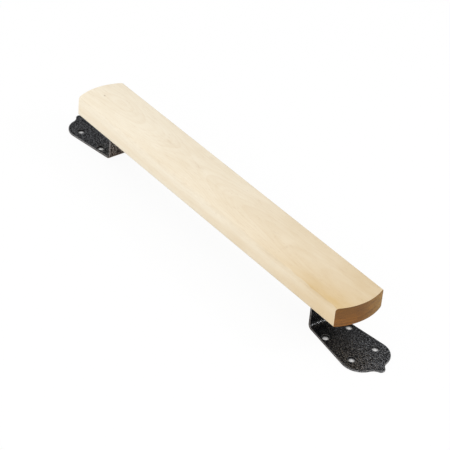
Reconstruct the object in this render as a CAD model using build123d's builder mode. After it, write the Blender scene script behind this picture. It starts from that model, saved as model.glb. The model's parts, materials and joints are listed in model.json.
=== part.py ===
from build123d import *

import os

# A flat wooden pull-up bar. A board with bowed ends is held off a wall or beam by two
# bent steel brackets, each fixed to the board's underside by four wood screws.
#
# Millimetres. X runs along the board, Y across it, and Z away from the mounting face.
# The origin lies on the mounting face, midway between the two brackets.

# Board
board_length = 600.0  # over the two bowed ends
board_width = 80.0
board_thickness = 29.0
end_bow = 10.0  # how far each end bows out past its corners
top_edge_radius = 4.5  # long edges that the hands close over
bottom_edge_radius = 1.5
end_edge_radius = 1.0  # sanded edges around the end grain

# Steel strap of both brackets
strap_thickness = 3.0
strap_width = 50.0
bend_radius = 5.0  # on the inside of each bend
standoff = 50.0  # mounting face to the underside of the board
wall_setback = 70.0  # board's end to the middle plane of the upright wall below it

# Flange, turned in under the board
flange_reach = 58.0  # wall's middle plane to the flange's free end
flange_corner_radius = 8.0

# Base plate, turned out: it widens to two round lobes that sweep in to a small tip
lobe_radius = 28.0
lobe_offset = 7.5  # centre of each lobe to the plate's middle line
lobe_reach = 82.5  # wall's middle plane to the lobes' centres
tip_radius = 6.0
tip_projection = 9.5  # how far the tip stands out beyond the lobes
tip_sweep_radius = 14.0  # hollow curve between lobe and tip

# Holes for anchors or bolts in each base plate
anchor_hole_diameter = 11.0
anchor_first_reach = 28.5  # wall's middle plane to the nearer pair
anchor_spacing_x = 52.0
anchor_edge_inset = 5.0  # strap's side to the holes' centres

# Pan-head wood screws
screw_length = 25.0  # below the head
thread_diameter = 5.0
core_diameter = 3.2
thread_pitch = 2.5
thread_ridge = 1.2  # width of a thread at its root
point_length = 5.0
head_diameter = 10.0
head_height = 3.6
head_rim = 0.9  # straight edge of the head
recess_span = 5.4
recess_slot = 1.1
recess_depth = 2.2
recess_taper = 8.0  # degrees

# Screw pattern in each flange
screw_spacing_x = 28.0
screw_spacing_y = 26.0

# Clearances
shank_clearance = 0.25  # thread to flange hole, all round
thread_clearance = 0.05  # thread to the hole that it has cut in the wood, all round
point_clearance = 0.5  # beyond the screw's point

# Places worked out from the sizes above
wall_x = board_length / 2 - wall_setback
flange_underside = standoff - strap_thickness
flange_end_x = wall_x - flange_reach
flange_flat_end_x = wall_x - strap_thickness / 2 - bend_radius
base_flat_start_x = wall_x + strap_thickness / 2 + bend_radius
screw_pattern_x = (flange_end_x + flange_flat_end_x) / 2
lobe_x = wall_x + lobe_reach
tip_end_x = lobe_x + lobe_radius + tip_projection
anchor_pattern_x = wall_x + anchor_first_reach + anchor_spacing_x / 2
anchor_spacing_y = strap_width - 2 * anchor_edge_inset
screw_depth = screw_length - strap_thickness  # in the wood

os.makedirs("parts", exist_ok=True)


# Board
with BuildPart() as board:
    with BuildSketch(Plane.XY.offset(standoff)):
        with BuildLine():
            corner_x = board_length / 2 - end_bow
            corner_y = board_width / 2
            SagittaArc((corner_x, -corner_y), (corner_x, corner_y), -end_bow)
            Line((corner_x, corner_y), (-corner_x, corner_y))
            SagittaArc((-corner_x, corner_y), (-corner_x, -corner_y), -end_bow)
            Line((-corner_x, -corner_y), (corner_x, -corner_y))
        make_face()
    extrude(amount=board_thickness)
    fillet(board.edges().filter_by(Axis.X).group_by(Axis.Z)[-1], top_edge_radius)
    fillet(board.edges().filter_by(Axis.X).group_by(Axis.Z)[0], bottom_edge_radius)
    end_faces = board.faces().filter_by(GeomType.CYLINDER).sort_by(Axis.X)
    fillet(end_faces[0].edges() + end_faces[-1].edges(), end_edge_radius)
    with BuildSketch(Plane.XY.offset(standoff)):
        with Locations((-screw_pattern_x, 0), (screw_pattern_x, 0)):
            with GridLocations(screw_spacing_x, screw_spacing_y, 2, 2):
                Circle(thread_diameter / 2 + thread_clearance)
    extrude(amount=screw_depth + point_clearance, mode=Mode.SUBTRACT)
board.part.label = "board"
export_step(board.part, "parts/board.step")


# Right bracket: a strap bent up from the base plate and then in under the board
with BuildPart() as bracket_right:
    with BuildSketch(Plane.XZ):
        with BuildLine():
            FilletPolyline(
                (flange_end_x, standoff - strap_thickness / 2),
                (wall_x, standoff - strap_thickness / 2),
                (wall_x, strap_thickness / 2),
                (tip_end_x, strap_thickness / 2),
                radius=bend_radius + strap_thickness / 2,
            )
        trace(line_width=strap_thickness)
    extrude(amount=max(lobe_offset + lobe_radius, strap_width / 2), both=True)

    with BuildSketch() as strap_outline:
        with BuildLine():
            lobe = CenterArc((lobe_x, lobe_offset), lobe_radius, 0, 360, mode=Mode.PRIVATE)
            tip = CenterArc((tip_end_x - tip_radius, 0), tip_radius, 0, 360, mode=Mode.PRIVATE)
            flare = ConstrainedLines(
                lobe,
                (base_flat_start_x, strap_width / 2),
                selector=lambda lines: lines.sort_by(Axis.Y)[-1],
            )
            sweep_in = ConstrainedArcs(
                (lobe, Tangency.OUTSIDE),
                (tip, Tangency.OUTSIDE),
                radius=tip_sweep_radius,
                selector=lambda arcs: arcs.sort_by(Axis.Y)[-1],
            )
            RadiusArc(flare @ 0, sweep_in @ 0, lobe_radius)
            RadiusArc(sweep_in @ 1, (tip_end_x, 0), tip_radius)
            Line((base_flat_start_x, strap_width / 2), (flange_end_x, strap_width / 2))
            Line((flange_end_x, strap_width / 2), (flange_end_x, 0))
            mirror(about=Plane.XZ)
        make_face()
        fillet(strap_outline.vertices().group_by(Axis.X)[0], flange_corner_radius)
    extrude(amount=standoff, mode=Mode.INTERSECT)

    with BuildSketch():
        with Locations((anchor_pattern_x, 0)):
            with GridLocations(anchor_spacing_x, anchor_spacing_y, 2, 2):
                Circle(anchor_hole_diameter / 2)
    extrude(amount=strap_thickness, mode=Mode.SUBTRACT)

    with BuildSketch(Plane.XY.offset(flange_underside)):
        with Locations((screw_pattern_x, 0)):
            with GridLocations(screw_spacing_x, screw_spacing_y, 2, 2):
                Circle(thread_diameter / 2 + shank_clearance)
    extrude(amount=strap_thickness, mode=Mode.SUBTRACT)
bracket_right.part.label = "bracket_right"
export_step(bracket_right.part, "parts/bracket_right.step")


# Left bracket: the same strap, turned half round
with BuildPart() as bracket_left:
    add(bracket_right.part, rotation=(0, 0, 180))
bracket_left.part.label = "bracket_left"
export_step(bracket_left.part, "parts/bracket_left.step")


# Wood screw, standing on its head's bearing face with the point up
with BuildPart() as screw:
    with BuildSketch(Plane.XZ):
        with BuildLine():
            core_radius = core_diameter / 2
            thread_top = screw_length - point_length
            threads = int((thread_top - strap_thickness) / thread_pitch)
            outline = [(head_diameter / 2, 0), (core_radius, 0)]
            for thread in range(threads):
                root = strap_thickness + thread * thread_pitch
                outline.append((core_radius, root))
                outline.append((thread_diameter / 2, root + thread_ridge / 2))
                outline.append((core_radius, root + thread_ridge))
            outline.append((core_radius, thread_top))
            outline.append((0, screw_length))
            outline.append((0, -head_height))
            Polyline(*outline)
            TangentArc((0, -head_height), (head_diameter / 2, -head_rim), tangent=(1, 0))
            Line((head_diameter / 2, -head_rim), (head_diameter / 2, 0))
        make_face()
    revolve(axis=Axis.Z)
    with BuildSketch(Plane.XY.offset(-head_height)):
        Rectangle(recess_span, recess_slot)
        Rectangle(recess_slot, recess_span)
    extrude(amount=recess_depth, taper=recess_taper, mode=Mode.SUBTRACT)

for side, pattern_x in (("left", -screw_pattern_x), ("right", screw_pattern_x)):
    for number, spot in enumerate(GridLocations(screw_spacing_x, screw_spacing_y, 2, 2), start=1):
        with BuildPart() as placed_screw:
            with Locations((pattern_x, 0, flange_underside)), Locations(spot):
                add(screw.part)
        placed_screw.part.label = f"screw_{side}_{number}"
        export_step(placed_screw.part, f"parts/screw_{side}_{number}.step")
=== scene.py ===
import json
import math

import bmesh
import bpy
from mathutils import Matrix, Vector


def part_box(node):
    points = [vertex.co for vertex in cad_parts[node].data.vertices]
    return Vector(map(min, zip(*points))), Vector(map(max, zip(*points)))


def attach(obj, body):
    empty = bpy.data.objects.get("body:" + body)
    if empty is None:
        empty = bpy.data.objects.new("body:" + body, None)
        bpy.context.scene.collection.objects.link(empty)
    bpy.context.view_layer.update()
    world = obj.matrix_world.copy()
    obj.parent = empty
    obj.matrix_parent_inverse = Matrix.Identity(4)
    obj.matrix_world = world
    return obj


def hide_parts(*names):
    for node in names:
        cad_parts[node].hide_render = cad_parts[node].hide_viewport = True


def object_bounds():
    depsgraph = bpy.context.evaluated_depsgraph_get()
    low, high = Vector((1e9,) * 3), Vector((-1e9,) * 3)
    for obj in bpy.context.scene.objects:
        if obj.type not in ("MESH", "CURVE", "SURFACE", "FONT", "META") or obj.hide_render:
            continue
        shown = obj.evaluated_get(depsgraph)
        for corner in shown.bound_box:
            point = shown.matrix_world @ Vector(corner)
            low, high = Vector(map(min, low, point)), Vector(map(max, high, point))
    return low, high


# A flat wooden pull-up bar: a board with bowed ends on two bent steel brackets in black
# hammered paint, each held by four zinc-plated wood screws.
# Metres throughout, X along the board, Z up from the mounting face.

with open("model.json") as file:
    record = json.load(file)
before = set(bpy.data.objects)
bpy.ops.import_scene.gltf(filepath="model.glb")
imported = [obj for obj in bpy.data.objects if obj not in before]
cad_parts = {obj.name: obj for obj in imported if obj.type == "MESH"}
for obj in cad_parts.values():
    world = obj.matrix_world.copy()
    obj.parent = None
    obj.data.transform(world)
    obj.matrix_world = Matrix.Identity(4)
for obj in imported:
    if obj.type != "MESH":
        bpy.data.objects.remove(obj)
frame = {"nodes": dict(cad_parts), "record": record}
cadLow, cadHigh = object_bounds()
print("Frame:", len(frame["nodes"]), "CAD nodes loaded")

mm = 0.001
sameWithin = 0.01 * mm  # places this close together count as one
weldWithin = 0.002 * mm
mounts = {mount["name"]: mount for mount in frame["record"]["mounts"]}


# Drawing and modelling helpers

def deselectAll():
    bpy.ops.object.select_all(action="DESELECT")


def selectOnly(piece):
    deselectAll()
    piece.select_set(True)
    bpy.context.view_layer.objects.active = piece


def pull(shift):
    # draws what is selected out by a shift
    bpy.ops.mesh.extrude_region_move(TRANSFORM_OT_translate={"value": shift})


def penDown(name, start):
    # a new mesh in edit mode that is one selected vertex, the pen's point
    deselectAll()
    bpy.ops.mesh.primitive_plane_add(size=mm)
    piece = bpy.context.active_object
    piece.name = piece.data.name = name
    bpy.ops.object.mode_set(mode="EDIT")
    bpy.ops.mesh.select_mode(type="VERT")
    bpy.ops.mesh.merge(type="CENTER")
    bpy.ops.transform.translate(value=start)
    return piece


def penLine(end):
    mesh = bmesh.from_edit_mesh(bpy.context.edit_object.data)
    here = next(vertex.co.copy() for vertex in mesh.verts if vertex.select)
    pull(Vector(end) - here)


def penArc(centre, degrees, axis=(0, 0, 1), facet=3.0):
    # swings what is selected round the centre, anticlockwise seen from the axis' tip, in
    # facets that turn by no more than so many degrees
    steps = max(2, math.ceil(abs(degrees) / facet))
    bpy.ops.mesh.spin(steps=steps, angle=-math.radians(degrees), center=centre, axis=axis)


def pick(kind, wanted):
    bpy.ops.mesh.select_mode(type=kind)
    bpy.ops.mesh.select_all(action="DESELECT")
    mesh = bmesh.from_edit_mesh(bpy.context.edit_object.data)
    for part in {"VERT": mesh.verts, "EDGE": mesh.edges, "FACE": mesh.faces}[kind]:
        if wanted(part):
            part.select_set(True)
    bmesh.update_edit_mesh(bpy.context.edit_object.data)


def edgeAt(test):
    # turns a test of a point into a test of an edge, both of whose ends must pass
    return lambda edge: all(test(vertex.co) for vertex in edge.verts)


def near(a, b):
    return abs(a - b) < sameWithin


def weld():
    bpy.ops.mesh.select_mode(type="VERT")
    bpy.ops.mesh.select_all(action="SELECT")
    bpy.ops.mesh.remove_doubles(threshold=weldWithin)


def fillOutline():
    weld()
    bpy.ops.mesh.edge_face_add()


def penUp():
    weld()
    bpy.ops.mesh.normals_make_consistent(inside=False)
    bpy.ops.object.mode_set(mode="OBJECT")


def applyModifier(piece, kind, **settings):
    modifier = piece.modifiers.new(kind.title(), kind)
    for setting, value in settings.items():
        setattr(modifier, setting, value)
    bpy.context.view_layer.objects.active = piece
    bpy.ops.object.modifier_apply(modifier=modifier.name)


def combine(piece, tool, operation):
    applyModifier(piece, "BOOLEAN", object=tool, operation=operation, solver="EXACT")
    bpy.data.objects.remove(tool)


def drill(piece, spots, radius, bottom, top, sides=32):
    deselectAll()
    for spot in spots:
        bpy.ops.mesh.primitive_cylinder_add(vertices=sides, radius=radius, depth=top - bottom,
                                            location=(*spot, (bottom + top) / 2))
        if bpy.context.mode == "OBJECT":
            bpy.ops.object.mode_set(mode="EDIT")
    bpy.ops.object.mode_set(mode="OBJECT")
    combine(piece, bpy.context.active_object, "DIFFERENCE")


def smooth(piece, degrees):
    # rounds the shading where faces turn by less, and leaves large faces flat
    selectOnly(piece)
    bpy.ops.object.shade_smooth_by_angle(angle=math.radians(degrees))
    applyModifier(piece, "WEIGHTED_NORMAL", keep_sharp=True, weight=80)


def bevelSharp(piece, width, degrees, segments, material=-1):
    # rounds every edge where faces turn by more; -1 keeps the faces' own material
    applyModifier(piece, "BEVEL", width=width, segments=segments, material=material,
                  limit_method="ANGLE", angle_limit=math.radians(degrees))


def duplicate(piece, name):
    selectOnly(piece)
    bpy.ops.object.duplicate()
    copy = bpy.context.active_object
    copy.name = copy.data.name = name
    return copy


def settle(piece):
    # puts a piece's place and turn into its mesh
    selectOnly(piece)
    bpy.ops.object.transform_apply(location=True, rotation=True, scale=True)


def grid(centre, spacingX, spacingY):
    # the four corners of a hole pattern
    return [(centre[0] + sideX * spacingX / 2, centre[1] + sideY * spacingY / 2)
            for sideX in (-1, 1) for sideY in (-1, 1)]


# Where the screws stand, from the CAD screws' own boxes

screwBoxes = {name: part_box(name) for name in sorted(frame["nodes"]) if name.startswith("screw")}
screwSpots = {name: ((low.x + high.x) / 2, (low.y + high.y) / 2)
              for name, (low, high) in screwBoxes.items()}


# Board

boardSizes = {
    "endBow": 10 * mm,
    "topRounding": 4.5 * mm,
    "bottomRounding": 1.5 * mm,
    "endRounding": 1 * mm,
    "boreRadius": 2.55 * mm,
    "borePastPoint": 0.5 * mm,
    "outlineSpare": 2 * mm,  # the cutting outline stands this far outside the planed faces
    "drillSpare": 1 * mm,    # below the underside
    "topFacet": 7.5,         # degrees, as are the four below
    "bottomFacet": 18,
    "bowFacet": 1.5,
    "sharpOver": 40,
    "smoothUnder": 35,
}


def makeBoard(sizes):
    # the planed section is drawn on end and run to length, then both ends are cut to the bow
    low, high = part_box("board")
    top = sizes["topRounding"]
    bottom = sizes["bottomRounding"]
    board = penDown("gripBoard", (low.x, low.y, low.z + bottom))
    penArc((low.x, low.y + bottom, low.z + bottom), 90, axis=(1, 0, 0), facet=sizes["bottomFacet"])
    penLine((low.x, high.y - bottom, low.z))
    penArc((low.x, high.y - bottom, low.z + bottom), 90, axis=(1, 0, 0), facet=sizes["bottomFacet"])
    penLine((low.x, high.y, high.z - top))
    penArc((low.x, high.y - top, high.z - top), 90, axis=(1, 0, 0), facet=sizes["topFacet"])
    penLine((low.x, low.y + top, high.z))
    penArc((low.x, low.y + top, high.z - top), 90, axis=(1, 0, 0), facet=sizes["topFacet"])
    penLine((low.x, low.y, low.z + bottom))
    fillOutline()
    pull((high.x - low.x, 0, 0))
    penUp()

    spare = sizes["outlineSpare"]
    bow = (high.y ** 2 + sizes["endBow"] ** 2) / (2 * sizes["endBow"])  # the ends' radius
    halfAngle = math.asin((high.y + spare) / bow)
    cornerX = high.x - bow + bow * math.cos(halfAngle)
    outline = penDown("bowOutline", (cornerX, low.y - spare, low.z - spare))
    penArc((high.x - bow, 0, low.z - spare), 2 * math.degrees(halfAngle), facet=sizes["bowFacet"])
    penLine((-cornerX, high.y + spare, low.z - spare))
    penArc((bow - high.x, 0, low.z - spare), 2 * math.degrees(halfAngle), facet=sizes["bowFacet"])
    penLine((cornerX, low.y - spare, low.z - spare))
    fillOutline()
    pull((0, 0, high.z - low.z + 2 * spare))
    penUp()
    combine(board, outline, "INTERSECT")
    bevelSharp(board, sizes["endRounding"], sizes["sharpOver"], segments=3)

    pointHigh = next(iter(screwBoxes.values()))[1].z
    drill(board, screwSpots.values(), sizes["boreRadius"], low.z - sizes["drillSpare"],
          pointHigh + sizes["borePastPoint"])
    smooth(board, sizes["smoothUnder"])
    return board


gripBoard = makeBoard(boardSizes)
print("Board:", len(gripBoard.data.polygons), "faces")


# Brackets

bracketSkins = {"face": 0, "wornHighlitEdge": 1, "holeWall": 2}  # material slots, the edges' one partly wear and partly a painted highlight
bracketSizes = {
    "sheet": 3 * mm,
    "strapWidth": 50 * mm,
    "insideBend": 5 * mm,
    "wallSetback": 70 * mm,  # board's end to the middle of the upright wall
    "lobeRadius": 28 * mm,
    "lobeOffset": 7.5 * mm,
    "lobeReach": 82.5 * mm,
    "tipRadius": 6 * mm,
    "sweepRadius": 14 * mm,
    "flangeCorner": 8 * mm,
    "flangeHoleRadius": 2.75 * mm,
    "rimRounding": 0.8 * mm,
    "holeRounding": 0.25 * mm,
    "drillSpare": 1 * mm,    # past the sheet on both sides
    "sharpOver": 50,  # degrees
    "smoothUnder": 50,
}


def meetingPoint(first, firstRadius, second, secondRadius):
    # where two circles cross, on the left of the line from one's centre to the other's
    across = second - first
    along = (firstRadius ** 2 - secondRadius ** 2 + across.length_squared) / (2 * across.length)
    aside = math.sqrt(firstRadius ** 2 - along ** 2)
    direction = across.normalized()
    return first + direction * along + Vector((-direction.y, direction.x)) * aside


def turnBetween(centre, start, end):
    # degrees turned about the centre, the short way round
    return -math.degrees((start - centre).angle_signed(end - centre))


def roundHoles(bracket, spots, radius, rounding):
    # softens the holes' rims and gives their walls their own material
    def onWall(point):
        return any(near((point.xy - Vector(spot)).length, radius) for spot in spots)

    selectOnly(bracket)
    bpy.ops.object.mode_set(mode="EDIT")
    pick("FACE", lambda face: all(onWall(vertex.co) for vertex in face.verts))
    bracket.active_material_index = bracketSkins["holeWall"]
    bpy.ops.object.material_slot_assign()
    pick("EDGE", lambda edge: edgeAt(onWall)(edge) and near(*(vertex.co.z for vertex in edge.verts)))
    bpy.ops.mesh.bevel(offset=rounding, segments=2, affect="EDGES",
                       material=bracketSkins["wornHighlitEdge"])
    bpy.ops.object.mode_set(mode="OBJECT")


def makeRightBracket(sizes):
    low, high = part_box("bracket_right")
    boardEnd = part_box("board")[1].x
    halfSheet = sizes["sheet"] / 2
    halfStrap = sizes["strapWidth"] / 2
    bend = sizes["insideBend"] + halfSheet  # radius of the sheet's middle surface
    wallX = boardEnd - sizes["wallSetback"]
    baseStart = wallX + bend
    flangeStart = wallX - bend

    corner = Vector((baseStart, halfStrap))
    lobe = Vector((wallX + sizes["lobeReach"], sizes["lobeOffset"]))
    tip = Vector((high.x - sizes["tipRadius"], 0))
    sweep = meetingPoint(lobe, sizes["lobeRadius"] + sizes["sweepRadius"],
                         tip, sizes["tipRadius"] + sizes["sweepRadius"])
    halfway = (corner + lobe) / 2
    flareEnd = meetingPoint(halfway, (corner - lobe).length / 2, lobe, sizes["lobeRadius"])
    lobeEnd = lobe + (sweep - lobe).normalized() * sizes["lobeRadius"]
    sweepEnd = tip + (sweep - tip).normalized() * sizes["tipRadius"]

    def onSheet(point, side=1):
        return (point.x, point.y * side, halfSheet)

    lobeTurn = turnBetween(lobe, flareEnd, lobeEnd)
    sweepTurn = turnBetween(sweep, lobeEnd, sweepEnd)
    tipTurn = turnBetween(tip, sweepEnd, Vector((high.x, 0)))
    bracket = penDown("rightBracket", onSheet(corner))
    penLine(onSheet(flareEnd))
    penArc(onSheet(lobe), lobeTurn)
    penArc(onSheet(sweep), sweepTurn, facet=6)
    penArc(onSheet(tip), 2 * tipTurn, facet=8)
    penArc(onSheet(sweep, -1), sweepTurn, facet=6)
    penArc(onSheet(lobe, -1), lobeTurn)
    penLine(onSheet(corner, -1))
    penLine(onSheet(corner))
    fillOutline()

    # bent up, run up the wall, bent in, run along under the board
    pick("EDGE", edgeAt(lambda point: near(point.x, baseStart)))
    penArc((baseStart, 0, halfSheet + bend), 90, axis=(0, 1, 0), facet=7.5)
    pull((0, 0, high.z - 2 * (halfSheet + bend)))
    penArc((flangeStart, 0, high.z - halfSheet - bend), -90, axis=(0, 1, 0), facet=7.5)
    pull((low.x - flangeStart, 0, 0))
    pick("VERT", lambda vertex: near(vertex.co.x, low.x))
    bpy.ops.mesh.bevel(offset=sizes["flangeCorner"], segments=12, affect="VERTICES")
    penUp()

    applyModifier(bracket, "SOLIDIFY", thickness=sizes["sheet"], offset=0, use_even_offset=True)
    for skin in bracketSkins:
        bracket.data.materials.append(None)
    bevelSharp(bracket, sizes["rimRounding"], sizes["sharpOver"], segments=3,
               material=bracketSkins["wornHighlitEdge"])

    anchors = mounts["right_base_holes"]
    pattern = anchors["dims"]
    anchorSpots = grid(anchors["pos_m"], pattern["spacing_x_mm"] * mm, pattern["spacing_y_mm"] * mm)
    anchorRadius = pattern["hole_r_mm"] * mm
    flangeSpots = [spot for spot in screwSpots.values() if spot[0] > 0]
    spare = sizes["drillSpare"]
    drill(bracket, anchorSpots, anchorRadius, -spare, sizes["sheet"] + spare, sides=64)
    drill(bracket, flangeSpots, sizes["flangeHoleRadius"], high.z - sizes["sheet"] - spare,
          high.z + spare, sides=40)
    roundHoles(bracket, anchorSpots, anchorRadius, sizes["holeRounding"])
    roundHoles(bracket, flangeSpots, sizes["flangeHoleRadius"], sizes["holeRounding"])
    smooth(bracket, sizes["smoothUnder"])
    return bracket


rightBracket = makeRightBracket(bracketSizes)
leftBracket = duplicate(rightBracket, "leftBracket")
bpy.ops.transform.rotate(value=math.pi, orient_axis="Z", center_override=(0, 0, 0))
settle(leftBracket)
print("Brackets:", len(rightBracket.data.polygons), "faces each")


# Wood screws

screwSizes = {
    "headRadius": 5 * mm,
    "headRim": 0.9 * mm,
    "coreRadius": 1.6 * mm,
    "threadRadius": 2.5 * mm,
    "threadPitch": 2.5 * mm,
    "threadRidge": 1.2 * mm,
    "shankLength": 25 * mm,
    "pointLength": 5 * mm,
    "recessSlot": 1.1 * mm,
    "recessSpan": 5.4 * mm,
    "recessDepth": 2.2 * mm,
    "recessNarrowing": 0.55,
    "threadSunk": 0.2 * mm,  # the thread's root in the core
    "rounding": 0.15 * mm,
    "turnEach": 37,  # degrees that each screw is turned past the one before
    "sharpOver": 50,
    "smoothUnder": 40,
}


def makeRecessTool(sizes, headTop):
    # a cross drawn out of a small block, narrower at the recess's bottom
    slot = sizes["recessSlot"]
    deselectAll()
    bpy.ops.mesh.primitive_cube_add(size=slot, location=(0, 0, headTop))
    tool = bpy.context.active_object
    bpy.ops.object.mode_set(mode="EDIT")
    bpy.ops.transform.resize(value=(1, 1, 2 * sizes["recessDepth"] / slot))
    pick("FACE", lambda face: abs(face.normal.z) < 0.5)
    bpy.ops.mesh.extrude_faces_move(
        TRANSFORM_OT_shrink_fatten={"value": (sizes["recessSpan"] - slot) / 2})
    pick("VERT", lambda vertex: vertex.co.z > 0)
    bpy.ops.transform.resize(value=(sizes["recessNarrowing"], sizes["recessNarrowing"], 1))
    penUp()
    return tool


def makeThread(sizes, bottom, turns):
    # a ridge that winds up the core
    inner = sizes["coreRadius"] - sizes["threadSunk"]
    thread = penDown("thread", (inner, 0, bottom))
    penLine((sizes["threadRadius"], 0, bottom + sizes["threadRidge"] / 2))
    penLine((inner, 0, bottom + sizes["threadRidge"]))
    penLine((inner, 0, bottom))
    weld()
    bpy.ops.object.mode_set(mode="OBJECT")
    applyModifier(thread, "SCREW", screw_offset=sizes["threadPitch"], iterations=turns,
                  steps=32, render_steps=32, axis="Z", use_merge_vertices=False)
    bpy.ops.object.mode_set(mode="EDIT")
    bpy.ops.mesh.select_all(action="SELECT")
    bpy.ops.mesh.fill_holes(sides=3)
    penUp()
    return thread


def makeScrew(sizes):
    # stands on its head's bearing face, point up, as it enters the board from below
    low, high = next(iter(screwBoxes.values()))
    headHeight = high.z - low.z - sizes["shankLength"]
    headTop = -headHeight
    rise = headHeight - sizes["headRim"]
    domeRadius = (sizes["headRadius"] ** 2 + rise ** 2) / (2 * rise)
    domeAngle = math.degrees(math.asin(sizes["headRadius"] / domeRadius))
    threadTop = sizes["shankLength"] - sizes["pointLength"]
    screw = penDown("woodScrew", (0, 0, headTop))
    penArc((0, 0, headTop + domeRadius), -domeAngle, axis=(0, 1, 0), facet=6)
    penLine((sizes["headRadius"], 0, 0))
    penLine((sizes["coreRadius"], 0, 0))
    penLine((sizes["coreRadius"], 0, threadTop))
    penLine((0, 0, sizes["shankLength"]))
    weld()
    penArc((0, 0, 0), 360, facet=7.5)
    penUp()
    sheet = bracketSizes["sheet"]
    turns = int((threadTop - sheet) / sizes["threadPitch"])
    combine(screw, makeThread(sizes, sheet, turns), "UNION")
    combine(screw, makeRecessTool(sizes, headTop), "DIFFERENCE")
    bevelSharp(screw, sizes["rounding"], sizes["sharpOver"], segments=2)
    smooth(screw, sizes["smoothUnder"])
    return screw


screwMaster = makeScrew(screwSizes)
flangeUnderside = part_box("bracket_right")[1].z - bracketSizes["sheet"]
screws = {}
for count, (node, spot) in enumerate(screwSpots.items()):
    screw = duplicate(screwMaster, node.replace("screw", "woodScrew"))
    bpy.ops.transform.rotate(value=math.radians(screwSizes["turnEach"] * count), orient_axis="Z",
                             center_override=(0, 0, 0))
    bpy.ops.transform.translate(value=(*spot, flangeUnderside))
    settle(screw)
    screws[node] = screw
bpy.data.objects.remove(screwMaster)
print("Screws:", len(screws), "of", len(screw.data.polygons), "faces")


# Material helpers

def hexColour(code):
    # a hex colour code as linear light
    parts = [int(code[at:at + 2], 16) / 255 for at in (0, 2, 4)]
    return (*(part / 12.92 if part < 0.04 else ((part + 0.055) / 1.055) ** 2.4 for part in parts), 1)


def grey(level):
    return (level, level, level, 1)


def plug(tree, socket, value):
    if isinstance(value, bpy.types.NodeSocket):
        tree.links.new(value, socket)
    else:
        socket.default_value = value


def addNode(tree, kind, sockets, **settings):
    node = tree.nodes.new("ShaderNode" + kind)
    for setting, value in settings.items():
        setattr(node, setting, value)
    for name, value in sockets.items():
        plug(tree, node.inputs[name], value)
    return node


def plugInOrder(tree, node, values):
    for socket, value in zip(node.inputs, values):
        plug(tree, socket, value)
    return node.outputs


def calc(tree, operation, *values):
    return plugInOrder(tree, addNode(tree, "Math", {}, operation=operation), values)[0]


def vectorCalc(tree, operation, *values):
    return plugInOrder(tree, addNode(tree, "VectorMath", {}, operation=operation), values)[0]


def times(tree, first, second):
    return calc(tree, "MULTIPLY", first, second)


def plus(tree, first, second):
    return calc(tree, "ADD", first, second)


def larger(tree, first, second):
    return calc(tree, "MAXIMUM", first, second)


def lacking(tree, share):
    # what a share lacks to be 1
    return calc(tree, "SUBTRACT", 1.0, share)


def addShare(tree, start, value, weight):
    return plus(tree, start, times(tree, value, weight))


def takeShare(tree, start, value, weight):
    return calc(tree, "SUBTRACT", start, times(tree, value, weight))


def ease(tree, value, start, end, low=0.0, high=1.0):
    # low at start, high at end, smooth between and level beyond
    sockets = {"Value": value, "From Min": start, "From Max": end, "To Min": low, "To Max": high}
    return addNode(tree, "MapRange", sockets, interpolation_type="SMOOTHSTEP").outputs["Result"]


def mixColour(tree, amount, first, second):
    node = addNode(tree, "Mix", {}, data_type="RGBA")
    for index, value in ((0, amount), (6, first), (7, second)):  # the mix's colour sockets
        plug(tree, node.inputs[index], value)
    return node.outputs[2]


def tint(tree, amount, colour, code):
    # draws a colour towards that of a hex code
    return mixColour(tree, amount, colour, hexColour(code))


def split(tree, place):
    return addNode(tree, "SeparateXYZ", {"Vector": place}).outputs


def lengthOf(tree, vector):
    return addNode(tree, "VectorMath", {"Vector": vector}, operation="LENGTH").outputs["Value"]


def stretch(tree, place, scale):
    return addNode(tree, "Mapping", {"Vector": place, "Scale": scale}).outputs["Vector"]


def noise(tree, place, scale, detail=2.0, roughness=0.5):
    sockets = {"Vector": place, "Scale": scale, "Detail": detail, "Roughness": roughness}
    return addNode(tree, "TexNoise", sockets).outputs["Fac"]


def sway(tree, place, scale, detail):
    # a wandering vector, half a unit either way along each axis
    sockets = {"Vector": place, "Scale": scale, "Detail": detail}
    wandering = addNode(tree, "TexNoise", sockets).outputs["Color"]
    return vectorCalc(tree, "SUBTRACT", wandering, (0.5, 0.5, 0.5))


def grain(tree, place, cells, detail=2.0, roughness=0.5):
    # noise with its own number of cells to the metre along each axis
    return noise(tree, stretch(tree, place, cells), 1.0, detail, roughness)


def weighed(tree, value, weight):
    # a 0 to 1 value as a swing either side of nothing
    return times(tree, calc(tree, "SUBTRACT", value, 0.5), weight)


def swing(tree, place, cells, weight, detail=2.0):
    return weighed(tree, grain(tree, place, cells, detail), weight)


def objectPlace(tree):
    return addNode(tree, "TexCoord", {}).outputs["Object"]


def newGroup(name, inputs, outputs):
    tree = bpy.data.node_groups.new(name, "ShaderNodeTree")
    for label, (kind, value) in inputs.items():
        socket = tree.interface.new_socket(label, in_out="INPUT", socket_type="NodeSocket" + kind)
        socket.default_value = value
    for label, kind in outputs.items():
        tree.interface.new_socket(label, in_out="OUTPUT", socket_type="NodeSocket" + kind)
    return tree, tree.nodes.new("NodeGroupInput").outputs, tree.nodes.new("NodeGroupOutput").inputs


def addGroup(tree, group, sockets):
    node = tree.nodes.new("ShaderNodeGroup")
    node.node_tree = group
    for label, value in sockets.items():
        plug(tree, node.inputs[label], value)
    return node.outputs


def newMaterial(name):
    material = bpy.data.materials.new(name)
    material.use_nodes = True
    tree = material.node_tree
    return material, tree, tree.nodes["Principled BSDF"].inputs


def addBump(tree, height, distance):
    sockets = {"Height": height, "Distance": distance, "Strength": 1.0}
    return addNode(tree, "Bump", sockets).outputs["Normal"]


# Shared effects

marksLook = {
    "smudgeRange": (0.35, 0.65),    # of the noise, from clean to smudged
    "scratchTurns": (0.5, -0.9),    # radians
    "turnAxis": (0.2, 0.1, 1),
    "scratchStretch": (0.06, 1, 1),
    "scratchWidth": 0.006,          # as a share of the noise
    "gapRange": (0.5, 0.6),
}


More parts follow.
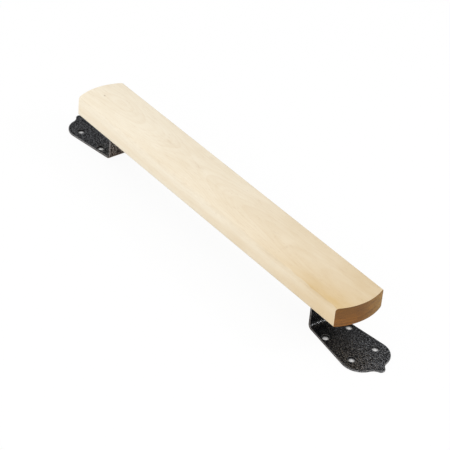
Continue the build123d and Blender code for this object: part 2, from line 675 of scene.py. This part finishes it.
def makeHandlingGroup(look):
    # soft smudges, and hairline scratches that run two ways
    tree, given, made = newGroup("handlingMarks",
                                 {"Vector": ("Vector", (0, 0, 0)), "Smudge Scale": ("Float", 30.0),
                                  "Scratch Scale": ("Float", 200.0)},
                                 {"Smudges": "Float", "Scratches": "Float"})
    smudges = noise(tree, given["Vector"], given["Smudge Scale"], detail=3)
    plug(tree, made["Smudges"], ease(tree, smudges, *look["smudgeRange"]))
    lines = []
    for turn in look["scratchTurns"]:
        turned = addNode(tree, "VectorRotate", {"Vector": given["Vector"], "Axis": look["turnAxis"],
                                                "Angle": turn})
        along = stretch(tree, turned.outputs["Vector"], look["scratchStretch"])
        grainy = noise(tree, along, given["Scratch Scale"], detail=1)
        thin = calc(tree, "ABSOLUTE", calc(tree, "SUBTRACT", grainy, 0.5))
        lines.append(ease(tree, thin, look["scratchWidth"], 0.0))
    both = larger(tree, *lines)
    gaps = noise(tree, given["Vector"], given["Smudge Scale"], detail=1)
    plug(tree, made["Scratches"], times(tree, both, ease(tree, gaps, *look["gapRange"])))
    return tree


def makeSpotGroup():
    # a soft-edged oval mark round a place
    tree, given, made = newGroup("softSpot",
                                 {"Vector": ("Vector", (0, 0, 0)), "Place": ("Vector", (0, 0, 0)),
                                  "Reach": ("Vector", (1, 1, 1))},
                                 {"Mark": "Float"})
    offset = vectorCalc(tree, "SUBTRACT", given["Vector"], given["Place"])
    distance = lengthOf(tree, vectorCalc(tree, "DIVIDE", offset, given["Reach"]))
    squared = times(tree, distance, distance)
    plug(tree, made["Mark"], calc(tree, "EXPONENT", times(tree, squared, -1.0)))
    return tree


handlingMarks = makeHandlingGroup(marksLook)
softSpot = makeSpotGroup()


def handling(tree, place, look):
    # the marks at a look's own scales
    return addGroup(tree, handlingMarks, {"Vector": place, "Smudge Scale": look["smudgeScale"],
                                          "Scratch Scale": look["scratchScale"]})


# Wood: pale, close-grained and flat-sawn, under a clear satin varnish

boardLow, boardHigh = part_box("board")
woodLook = {
    "pale": "FAEFD9",
    "honey": "E0C9A2",
    "amber": "D6B474",
    "lateRing": "D2B080",
    "fleck": "B58A58",
    "pin": "7E5A36",
    "endBrown": "80541B",
    "endDark": "5E3D1A",
    "endOrange": "A86A26",
    "endTanAndLight": "B2873F",
    "shade": "000000",
    # growth rings
    "ringSpacing": 1.3 * mm,
    "pithDepth": 60 * mm,   # below the top face
    "pithSag": 12 * mm,     # how much further down the pith lies at its lowest
    "pithLowest": -60 * mm,
    "sagSpread": 125 * mm,
    "wander": 9 * mm,       # of the rings, either way
    "wanderCells": (5, 16, 16),    # to the metre, as all cells are
    "swirl": {"spot": (-243, 9), "reach": (34, 17, 30)},
    "swirlPull": 3.5 * mm,
    "lateRise": (0.2, 0.9),        # of a year's growth
    "lateFall": (1.0, 0.9),
    "lateTone": 0.09,
    "yearTone": 0.08,       # how far one year differs from the next
    # clouds, and a painted highlight: a paler band along the upper sides
    "clouds": {"cells": (7, 22, 22), "weight": 0.65},
    "mottle": {"cells": (25, 70, 70), "weight": 0.4},
    "raggedSides": {"cells": (55, 150, 150), "weight": 8 * mm, "detail": 3},
    "paintedSideLight": (3.5 * mm, 1.5 * mm),  # in from the side, where the band starts and is whole
    "bandDepths": (9 * mm, 7 * mm),    # below the top face, between which it is whole
    "bandLow": 0.4,         # what is left of it at the bottom
    "bandTop": 0.1,         # and on the top face
    "sideLightTone": 0.2,
    # warm marks, in millimetres on the top face or a depth below it
    "amberPatch": {"spot": (300, -42), "reach": (95, 23, 23)},
    "amberCells": (30, 90, 90),
    "amberRange": (0.3, 0.7, 0.55, 0.95),
    "warmStreak": {"spot": (0, -40), "reach": (600, 6, 6), "depth": 18},
    "streakTone": 0.15,
    "pinKnot": {"spot": (-275, -5), "reach": (1.4, 1.0, 5)},
    "pinTone": 0.6,
    "flecks": [(-126, 4, 9, 2.5), (80, -31, 10, 1.5), (156, -12, 3, 7), (-62, 31, 4, 2),
               (-58, 3, 12, 4), (-190, 22, 6, 1.5), (232, 18, 8, 1.5)],
    "fleckDepth": 6,
    "fleckTone": 0.2,
    "tornCells": (160, 700, 700),  # breaks the flecks up
    "tornRange": (0.3, 0.7),
    # fibres and short vessels
    "fibreCells": (35, 800, 800),
    "fibreRange": (0.45, 0.8, 0, 0.19),
    "vesselCells": (110, 1500, 1500),
    "vesselRange": (0.66, 0.74),
    "vesselTone": 0.22,
    # edges, darkened by painted shade
    "paintedEdgeShade": (0.1, 0.5, 0.0, 0.055),  # how far a face turns out and up, and the painted shade there
    "paintedLowerShade": (1 * mm, 6 * mm, 0.08, 0.0),  # heights above the underside, and the painted shade there
    # painted shade towards the back edge
    "paintedBackShade": 0.07,
    # end grain, its brown partly painted shade and its tan side partly painted light
    "endTurn": (0.55, 0.82),       # how squarely a face looks along the board
    "endSpan": (-10 * mm, 45 * mm),
    "endCorner": {"spot": (300, -36), "reach": (40, 34, 40)},
    "endPatches": {"cells": (20, 60, 110), "weight": 0.5, "detail": 3},
    "endStreaks": {"cells": (20, 45, 420), "weight": 1.5, "detail": 3},
    "endLate": 0.5,
    "poreScale": 1400,
    "poreRange": (0.35, 0.7, 0.0, 0.55),
    # varnish
    "roughness": 0.45,
    "smudgeRoughness": 0.08,
    "fibreRoughness": 0.06,
    "endRoughness": 0.15,
    "specular": 0.38,
    "coat": 0.1,
    "coatRoughness": 0.3,
    "smudgeScale": 22.0,
    "scratchScale": 160.0,
    "relief": 0.05 * mm,
    "fibreHeight": 0.5,     # shares of the relief
    "vesselDepth": 0.6,
    "poreDepth": 1.2,
    "scratchDepth": 0.25,
}


def spotOn(tree, place, spot, reach, depth=0):
    # a soft mark on the board's top or a depth below it, all in millimetres
    top = cadHigh.z / mm
    spot = [axis * mm for axis in (*spot, top - depth)]
    reach = [axis * mm for axis in reach]
    return addGroup(tree, softSpot, {"Vector": place, "Place": spot, "Reach": reach})["Mark"]


def growthRings(tree, place, look):
    # shells about a pith that sags and wanders below the board
    drift = sway(tree, stretch(tree, place, look["wanderCells"]), scale=1.0, detail=1.5)
    swung = vectorCalc(tree, "MULTIPLY_ADD", drift, (0, look["wander"], look["wander"]), place)
    axes = split(tree, swung)
    away = calc(tree, "DIVIDE", calc(tree, "SUBTRACT", axes["X"], look["pithLowest"]),
                look["sagSpread"])
    sag = calc(tree, "DIVIDE", look["pithSag"], plus(tree, times(tree, away, away), 1.0))
    above = plus(tree, plus(tree, axes["Z"], look["pithDepth"] - cadHigh.z), sag)
    fromPith = addNode(tree, "CombineXYZ", {"Y": axes["Y"], "Z": above}).outputs[0]
    swirl = spotOn(tree, place, **look["swirl"])
    radius = takeShare(tree, lengthOf(tree, fromPith), swirl, look["swirlPull"])
    rings = calc(tree, "DIVIDE", radius, look["ringSpacing"])
    season = calc(tree, "FRACT", rings)
    late = times(tree, ease(tree, season, *look["lateRise"]), ease(tree, season, *look["lateFall"]))
    year = addNode(tree, "TexWhiteNoise", {"W": calc(tree, "FLOOR", rings)},
                   noise_dimensions="1D").outputs["Value"]
    return late, year


def paintedSideLight(tree, place, look):
    # where the painted highlight lies: 1 along the board's sides, with a ragged start
    start, whole = look["paintedSideLight"]
    away = plus(tree, calc(tree, "ABSOLUTE", split(tree, place)["Y"]),
                swing(tree, place, **look["raggedSides"]))
    return ease(tree, away, boardHigh.y - start, boardHigh.y - whole)


def longGrain(tree, place, look, late, year):
    # pale at the far end and honey at the near one, partly the wood's own tone and partly painted shade
    # where the light falls off, with soft clouds between, a painted highlight as a paler band along the
    # upper sides, and a warm streak down one of them
    axes = split(tree, place)
    height = axes["Z"]
    run = calc(tree, "DIVIDE", calc(tree, "SUBTRACT", axes["X"], boardLow.x),
               boardHigh.x - boardLow.x)
    # painted shade: darker and warmer towards the near end, partly the wood's tone and partly the light
    # falling off there
    warmthAndPaintedLight = times(tree, run, run)
    for cloud in ("clouds", "mottle"):
        warmthAndPaintedLight = plus(tree, warmthAndPaintedLight, swing(tree, place, **look[cloud]))
    band = paintedSideLight(tree, place, look)
    deep, shallow = look["bandDepths"]
    # painted highlight: the sides are paler towards their top, where more light falls, and faintly so on
    # the top face
    pale = times(tree, ease(tree, height, boardLow.z, boardHigh.z - deep, look["bandLow"], 1.0),
                 ease(tree, height, boardHigh.z, boardHigh.z - shallow, look["bandTop"], 1.0))
    warmthAndPaintedLight = takeShare(tree, warmthAndPaintedLight, times(tree, pale, band), look["sideLightTone"])
    colour = tint(tree, warmthAndPaintedLight, hexColour(look["pale"]), look["honey"])
    cloudy = ease(tree, grain(tree, place, look["amberCells"]), *look["amberRange"])
    amber = times(tree, spotOn(tree, place, **look["amberPatch"]), cloudy)
    amber = times(tree, amber, lacking(tree, band))
    streak = times(tree, spotOn(tree, place, **look["warmStreak"]), look["streakTone"])
    colour = tint(tree, larger(tree, amber, streak), colour, look["amber"])
    ringTone = plus(tree, times(tree, late, look["lateTone"]), weighed(tree, year, look["yearTone"]))
    return tint(tree, ringTone, colour, look["lateRing"])


def brownFlecks(tree, place, look):
    marks = [spotOn(tree, place, (x, y), (length, width, look["fleckDepth"]))
             for x, y, length, width in look["flecks"]]
    flecks = marks[0]
    for mark in marks[1:]:
        flecks = larger(tree, flecks, mark)
    torn = ease(tree, grain(tree, place, look["tornCells"]), *look["tornRange"])
    return times(tree, times(tree, flecks, torn), look["fleckTone"])


def endGrain(tree, place, look, late, pores):
    # end grain drinks the varnish and turns brown, darkened further by painted shade, and goes a lighter
    # tan towards the back corner, partly painted light from that side
    axes = split(tree, place)
    # painted light: lighter tan towards the back corner, where the light from that side falls
    tan = ease(tree, axes["Y"], *look["endSpan"])
    colour = tint(tree, tan, hexColour(look["endBrown"]), look["endTanAndLight"])
    corner = times(tree, spotOn(tree, place, **look["endCorner"]),
                   ease(tree, axes["Z"], boardHigh.z, boardLow.z))
    orange = plus(tree, corner, swing(tree, place, **look["endPatches"]))
    colour = tint(tree, orange, colour, look["endOrange"])
    dark = plus(tree, times(tree, late, look["endLate"]), ease(tree, pores, *look["poreRange"]))
    dark = plus(tree, dark, swing(tree, place, **look["endStreaks"]))
    return tint(tree, dark, colour, look["endDark"])


def makeWood(look):
    material, tree, surface = newMaterial("varnishedWood")
    place = objectPlace(tree)
    axes = split(tree, place)
    facing = split(tree, addNode(tree, "TexCoord", {}).outputs["Normal"])
    late, year = growthRings(tree, place, look)
    colour = longGrain(tree, place, look, late, year)

    fibres = grain(tree, place, look["fibreCells"], detail=3, roughness=0.6)
    colour = tint(tree, ease(tree, fibres, *look["fibreRange"]), colour, look["lateRing"])
    dashes = grain(tree, place, look["vesselCells"], detail=1)
    vessels = ease(tree, dashes, *look["vesselRange"])
    colour = tint(tree, times(tree, vessels, look["vesselTone"]), colour, look["fleck"])
    colour = tint(tree, brownFlecks(tree, place, look), colour, look["fleck"])
    pin = times(tree, spotOn(tree, place, **look["pinKnot"]), look["pinTone"])
    colour = tint(tree, pin, colour, look["pin"])

    # painted shade darkens the rounded upper edges, dulling the lamps' highlight there, and the sides
    # towards the underside
    rounded = times(tree, calc(tree, "ABSOLUTE", facing["Y"]), facing["Z"])
    upper = ease(tree, rounded, *look["paintedEdgeShade"])
    start, end, low, high = look["paintedLowerShade"]
    lower = ease(tree, axes["Z"], boardLow.z + start, boardLow.z + end, low, high)
    colour = tint(tree, larger(tree, upper, lower), colour, look["shade"])

    endFace = ease(tree, calc(tree, "ABSOLUTE", facing["X"]), *look["endTurn"])
    pores = noise(tree, place, look["poreScale"], detail=2)
    colour = mixColour(tree, endFace, colour, endGrain(tree, place, look, late, pores))
    # painted shade: the faces darken towards the back edge, away from the light
    back = ease(tree, axes["Y"], boardLow.y, boardHigh.y, 0.0, look["paintedBackShade"])
    plug(tree, surface["Base Color"], tint(tree, back, colour, look["shade"]))

    marks = handling(tree, place, look)
    sheen = addShare(tree, look["roughness"], marks["Smudges"], look["smudgeRoughness"])
    sheen = addShare(tree, sheen, fibres, look["fibreRoughness"])
    sheen = addShare(tree, sheen, endFace, look["endRoughness"])
    plug(tree, surface["Roughness"], sheen)
    relief = takeShare(tree, times(tree, fibres, look["fibreHeight"]), vessels, look["vesselDepth"])
    relief = takeShare(tree, relief, times(tree, pores, endFace), look["poreDepth"])
    relief = takeShare(tree, relief, marks["Scratches"], look["scratchDepth"])
    plug(tree, surface["Normal"], addBump(tree, relief, look["relief"]))
    plug(tree, surface["Coat Weight"], ease(tree, endFace, 0.0, 1.0, look["coat"], 0.0))
    surface["Specular IOR Level"].default_value = look["specular"]
    surface["Coat Roughness"].default_value = look["coatRoughness"]
    return material


# Hammered paint: black, drawn up into small cells with silver in the valleys between them

skinLook = {
    "warp": 0.9 * mm,             # how far the cells' outlines wander
    "patchScale": 0.9,            # patches of clear and faint valleys, to a cell
    "patchRange": (0.43, 0.6),
    "fleckReach": (0.5, 0.15),    # from a cell's middle, where a silver fleck ends and is whole
    "fleckChance": (0.83, 0.88),  # few cells have one
    "wearAndHighlightRange": (0.3, 0.6, 0.6, 1.0),
    "slope": (0.0, 0.4),          # from a valley up to the height of a cell
}
hammeredPaint = {
    "ground": "08080A",
    "vein": "C4C6CB",
    "cells": 650.0,        # to the metre
    "veinWidth": 0.18,     # of a cell
    "wearAndHighlight": (0.0, 0.0),  # how far the black wears to silver and is lightened as a painted highlight, on the left and the right
    "wearAndHighlightSpan": (-0.2, 0.2),
    "paintedBendShade": (0.24, 0.33, 0.55, 0.0),  # painted shade: fewer silver veins by the right bracket's bend, in the board's shade
    "metalFrom": (0.0, 0.3),
    "roughness": 0.25,
    "silverRoughness": 0.15,
    "smudgeRoughness": 0.06,
    "specular": 0.18,
    "smudgeScale": 45.0,
    "scratchScale": 260.0,
    "relief": 0.06 * mm,
    "scratchDepth": 0.2,   # of the relief
}
# the rounded edges: partly paint wearing to silver, partly a painted highlight, stronger on the left
# bracket
wornAndHighlitPaint = {
    **hammeredPaint,
    "vein": "B0B0B2",
    "wearAndHighlight": (0.8, 0.6),
    "relief": 0.015 * mm,
    "roughness": 0.35,
}
# painted shade in the holes: their walls keep almost no silver veins and stay dark
holeShadePaint = {**hammeredPaint, "veinWidth": 0.02, "roughness": 0.6}


def makePaintGroup(look):
    tree, given, made = newGroup("hammeredSkin",
                                 {"Vector": ("Vector", (0, 0, 0)), "Cells": ("Float", 300.0),
                                  "Vein Width": ("Float", 0.2), "Wear And Highlight": ("Float", 0.0),
                                  "Bend Shade": ("Float", 0.0),
                                  "Ground": ("Color", (0, 0, 0, 1)), "Vein": ("Color", (1, 1, 1, 1))},
                                 {"Colour": "Color", "Silver": "Float", "Height": "Float"})
    warp = (look["warp"], look["warp"], look["warp"])
    wandering = sway(tree, given["Vector"], given["Cells"], detail=1.0)
    warped = vectorCalc(tree, "MULTIPLY_ADD", wandering, warp, given["Vector"])
    cells = {"Vector": warped, "Scale": given["Cells"]}
    edge = addNode(tree, "TexVoronoi", cells, feature="DISTANCE_TO_EDGE").outputs["Distance"]
    heart = addNode(tree, "TexVoronoi", cells, feature="F1").outputs
    patchy = noise(tree, given["Vector"], times(tree, given["Cells"], look["patchScale"]), detail=1)
    valley = ease(tree, edge, given["Vein Width"], 0.0)
    valley = times(tree, valley, ease(tree, patchy, *look["patchRange"]))
    chance = split(tree, heart["Color"])["X"]
    fleck = times(tree, ease(tree, heart["Distance"], *look["fleckReach"]),
                  ease(tree, chance, *look["fleckChance"]))
    # silver on the edges, partly wear and partly a painted highlight
    wornAndLit = times(tree, given["Wear And Highlight"], ease(tree, patchy, *look["wearAndHighlightRange"]))
    # painted shade clears the silver where Bend Shade is set
    drawn = times(tree, larger(tree, valley, fleck), lacking(tree, given["Bend Shade"]))
    silver = larger(tree, drawn, wornAndLit)
    plug(tree, made["Colour"], mixColour(tree, silver, given["Ground"], given["Vein"]))
    plug(tree, made["Silver"], silver)
    plug(tree, made["Height"], ease(tree, edge, *look["slope"]))
    return tree


hammeredSkin = makePaintGroup(skinLook)


def makePaint(name, look):
    material, tree, surface = newMaterial(name)
    place = objectPlace(tree)
    along = split(tree, place)["X"]
    # wear and painted highlight, set apart for the left and the right bracket
    wearAndHighlight = ease(tree, along, *look["wearAndHighlightSpan"], *look["wearAndHighlight"])
    # painted shade by the right bracket's bend, where the board shades it: the silver veins fade there
    bendShade = times(tree, calc(tree, "GREATER_THAN", along, 0.0), ease(tree, along, *look["paintedBendShade"]))
    veinWidth = times(tree, look["veinWidth"], lacking(tree, bendShade))
    skin = addGroup(tree, hammeredSkin, {"Vector": place, "Cells": look["cells"],
                                         "Vein Width": veinWidth, "Wear And Highlight": wearAndHighlight, "Bend Shade": bendShade,
                                         "Ground": hexColour(look["ground"]),
                                         "Vein": hexColour(look["vein"])})
    marks = handling(tree, place, look)
    plug(tree, surface["Base Color"], skin["Colour"])
    plug(tree, surface["Metallic"], ease(tree, skin["Silver"], *look["metalFrom"]))
    rough = addShare(tree, look["roughness"], skin["Silver"], look["silverRoughness"])
    rough = addShare(tree, rough, marks["Smudges"], look["smudgeRoughness"])
    plug(tree, surface["Roughness"], rough)
    height = takeShare(tree, skin["Height"], marks["Scratches"], look["scratchDepth"])
    plug(tree, surface["Normal"], addBump(tree, height, look["relief"]))
    surface["Specular IOR Level"].default_value = look["specular"]
    return material


# Zinc plate, with a faint blue and straw cast

zincLook = {
    "bright": "C9CCD0",
    "straw": "C7BE9F",
    "castScale": 160,
    "castRange": (0.45, 0.75, 0, 0.6),
    "roughness": 0.27,
    "smudgeRoughness": 0.14,
    "scratchRoughness": 0.2,
    "smudgeScale": 120.0,
    "scratchScale": 700.0,
    "scratchDepth": 0.01 * mm,
}


def makeZinc(look):
    material, tree, surface = newMaterial("zincPlate")
    place = objectPlace(tree)
    cast = ease(tree, noise(tree, place, look["castScale"], detail=2), *look["castRange"])
    marks = handling(tree, place, look)
    plug(tree, surface["Base Color"], tint(tree, cast, hexColour(look["bright"]), look["straw"]))
    surface["Metallic"].default_value = 1.0
    rough = addShare(tree, look["roughness"], marks["Smudges"], look["smudgeRoughness"])
    plug(tree, surface["Roughness"], addShare(tree, rough, marks["Scratches"], look["scratchRoughness"]))
    plug(tree, surface["Normal"], addBump(tree, marks["Scratches"], -look["scratchDepth"]))
    return material


def dress(piece, *materials):
    while len(piece.data.materials) < len(materials):
        piece.data.materials.append(None)
    for index, material in enumerate(materials):
        piece.data.materials[index] = material


dress(gripBoard, makeWood(woodLook))
facePaint = makePaint("hammeredPaint", hammeredPaint)
edgePaint = makePaint("edgeWearAndHighlight", wornAndHighlitPaint)
holePaint = makePaint("shadedHoleWallPaint", holeShadePaint)
for bracket in (leftBracket, rightBracket):
    dress(bracket, facePaint, edgePaint, holePaint)
zincPlate = makeZinc(zincLook)
for screw in screws.values():
    dress(screw, zincPlate)
print("Materials made")


# Each piece takes its place in the frame

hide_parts("board")
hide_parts("bracket_left")
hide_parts("bracket_right")
for node, screw in screws.items():
    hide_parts(node)
slots = {
    "wood": [gripBoard],
    "hammered_paint": [leftBracket, rightBracket],
    "zinc_plate": screws.values(),
}
for slot, pieces in slots.items():
    for piece in pieces:
        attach(piece, "root")


# Floor, light and camera

stageLook = {
    "floorSize": 12.0,
    "floorDrop": 0.1 * mm,
    "clearWithin": 0.3 * mm,  # the floor is clear to what lies this close above it
    "floorWhite": 0.97,
    "floorBounce": 0.78,      # how pale the floor is for the light that it throws back
    "underBounce": 0.15,      # and close under the wood, a painted shade
    "floorShaded": 0.1,       # and close to the walls of the base plates' holes
    "floorRoughness": 0.9,
    "holeMargin": 1 * mm,
    "holeDim": 0.6,           # how far the holes take the floor's glow away
    "backdropShare": 0.93,    # of the floor's look, the rest is lit and takes the shadow
    "glossShare": 0.6,        # the same in reflections
    "brownShare": 0.45,       # and in those of the floor under the wood, a painted reflection of its warm bounce
    "brown": "C09058",
    "openReach": 150 * mm,    # how far the wood dims the floor below it with painted shade, and browns it with a painted reflection
    "openRange": (0.4, 0.95),
    "contactReach": 9 * mm,
    "contactRange": (0.76, 0.6),
    "worldLevel": 0.87,
    "ceilingLevel": 0.22,     # what gloss sees overhead, between the softboxes
    "ceilingRise": 0.2,       # from the horizon to there
}
softboxes = {
    "wideSoftbox": {"place": (0.7, -1.9, 0.9), "size": 1.2, "power": 7.2, "glossOnly": False},
    "rightSoftbox": {"place": (1.33, 1.08, 1.27), "size": 0.4, "power": 8.5, "glossOnly": False},
    "leftSoftbox": {"place": (-1.35, -1.05, 0.95), "size": 0.28, "power": 3.0, "glossOnly": False},
    "edgeSoftbox": {"place": (-1.3, -1.15, 1.05), "size": 1.2, "power": 1.0, "glossOnly": True},
    "lowSoftbox": {"place": (1.84, 1.05, 0.3), "size": 0.16, "power": 9.0, "glossOnly": True},
    "backSoftbox": {"place": (-0.3, 1.24, 1.45), "size": 0.5, "power": 1.5, "glossOnly": True},
}


def insideHoles(tree, margin):
    # 1 round the base plates' holes and 0 beyond them
    anchors = mounts["right_base_holes"]
    pattern = anchors["dims"]
    edge = pattern["hole_r_mm"] * mm + margin
    place = split(tree, objectPlace(tree))
    inLength = calc(tree, "COMPARE", calc(tree, "ABSOLUTE", place["X"]), anchors["pos_m"][0],
                    pattern["spacing_x_mm"] / 2 * mm + edge)
    inWidth = calc(tree, "COMPARE", place["Y"], anchors["pos_m"][1],
                   pattern["spacing_y_mm"] / 2 * mm + edge)
    return times(tree, inLength, inWidth)


def openSky(tree, reach):
    # 1 where nothing stands within reach
    return addNode(tree, "AmbientOcclusion", {"Distance": reach}, samples=8).outputs["AO"]


def mixShader(tree, share, first, second):
    return plugInOrder(tree, addNode(tree, "MixShader", {}), (share, first, second))[0]


def makeFloor(look):
    # pale and glowing, with a soft shadow, and clear from below
    deselectAll()
    bpy.ops.mesh.primitive_plane_add(size=look["floorSize"], location=(0, 0, -look["floorDrop"]))
    floor = bpy.context.active_object
    floor.name = "floor"
    material, tree, surface = newMaterial("paleFloor")
    rays = addNode(tree, "LightPath", {}).outputs
    direct = rays["Is Camera Ray"]
    seen = larger(tree, larger(tree, direct, rays["Is Glossy Ray"]), rays["Is Transmission Ray"])

    inHoles = insideHoles(tree, look["holeMargin"])
    contact = openSky(tree, look["contactReach"])
    shade = times(tree, inHoles, ease(tree, contact, *look["contactRange"]))
    tone = mixColour(tree, shade, grey(look["floorWhite"]), grey(look["floorShaded"]))
    openness = ease(tree, openSky(tree, look["openReach"]), *look["openRange"])
    # painted shade: under the wood the floor throws back less light
    bounce = ease(tree, openness, 0.0, 1.0, look["underBounce"], look["floorBounce"])
    plug(tree, surface["Base Color"], mixColour(tree, seen, bounce, tone))
    surface["Roughness"].default_value = look["floorRoughness"]
    surface["Specular IOR Level"].default_value = 0.0
    lit = tree.nodes["Principled BSDF"].outputs[0]

    # painted reflection: under the wood the floor glows brown, for the warm light the wood throws down
    glow = mixColour(tree, larger(tree, direct, openness), hexColour(look["brown"]), grey(1.0))
    white = addNode(tree, "Emission", {"Color": glow, "Strength": 1.0}).outputs[0]
    reflected = ease(tree, openness, 0.0, 1.0, look["brownShare"], look["glossShare"])
    share = larger(tree, times(tree, seen, reflected), times(tree, direct, look["backdropShare"]))
    dimmed = larger(tree, shade, times(tree, inHoles, look["holeDim"]))
    share = times(tree, share, lacking(tree, dimmed))

    below = addNode(tree, "NewGeometry", {}).outputs["Backfacing"]
    close = calc(tree, "LESS_THAN", rays["Ray Length"], look["clearWithin"])
    clear = addNode(tree, "BsdfTransparent", {}).outputs[0]
    oneSided = mixShader(tree, larger(tree, below, close), mixShader(tree, share, lit, white), clear)
    plug(tree, tree.nodes["Material Output"].inputs["Surface"], oneSided)
    dress(floor, material)


def mixLevel(tree, share, first, second):
    return addNode(tree, "Mix", {"Factor": share, "A": first, "B": second}).outputs["Result"]


def makeWorld(look):
    # even light for soft surfaces, a white horizon and a dim ceiling for gloss, white for the camera
    world = bpy.data.worlds.new("studio")
    bpy.context.scene.world = world
    world.use_nodes = True
    tree = world.node_tree
    height = split(tree, addNode(tree, "TexCoord", {}).outputs["Generated"])["Z"]
    ceiling = ease(tree, height, 0.0, look["ceilingRise"], 1.0, look["ceilingLevel"])
    rays = addNode(tree, "LightPath", {}).outputs
    level = mixLevel(tree, rays["Is Glossy Ray"], look["worldLevel"], ceiling)
    direct = larger(tree, rays["Is Camera Ray"], rays["Is Transmission Ray"])
    background = tree.nodes["Background"].inputs
    plug(tree, background["Color"], grey(1.0))
    plug(tree, background["Strength"], mixLevel(tree, direct, level, 1.0))


def makeSoftbox(name, place, size, power, glossOnly):
    lamp = bpy.data.lights.new(name, "AREA")
    lamp.shape = "SQUARE"
    lamp.size = size
    lamp.energy = power
    softbox = bpy.data.objects.new(name, lamp)
    bpy.context.scene.collection.objects.link(softbox)
    softbox.location = place
    towards = Vector((0, 0, cadHigh.z)) - softbox.location
    softbox.rotation_euler = towards.to_track_quat("-Z", "Y").to_euler()
    softbox.visible_diffuse = not glossOnly


cameraView = {
    "place": (1.5643, -1.3017, 1.4623),
    "turn": (54.493, -4.071, 52.870),  # degrees
    "lens": 145.05,
    "sensor": 36.0,
    "farEnd": 50.0,
}


def makeCamera(look):
    lens = bpy.data.cameras.new("camera")
    lens.lens = look["lens"]
    lens.sensor_width = look["sensor"]
    lens.clip_end = look["farEnd"]
    camera = bpy.data.objects.new("camera", lens)
    bpy.context.scene.collection.objects.link(camera)
    camera.location = look["place"]
    camera.rotation_euler = [math.radians(angle) for angle in look["turn"]]
    bpy.context.scene.camera = camera


makeFloor(stageLook)
makeWorld(stageLook)
for name, softbox in softboxes.items():
    makeSoftbox(name, **softbox)
makeCamera(cameraView)
bpy.context.scene.view_settings.view_transform = "Standard"
print("Stage set")
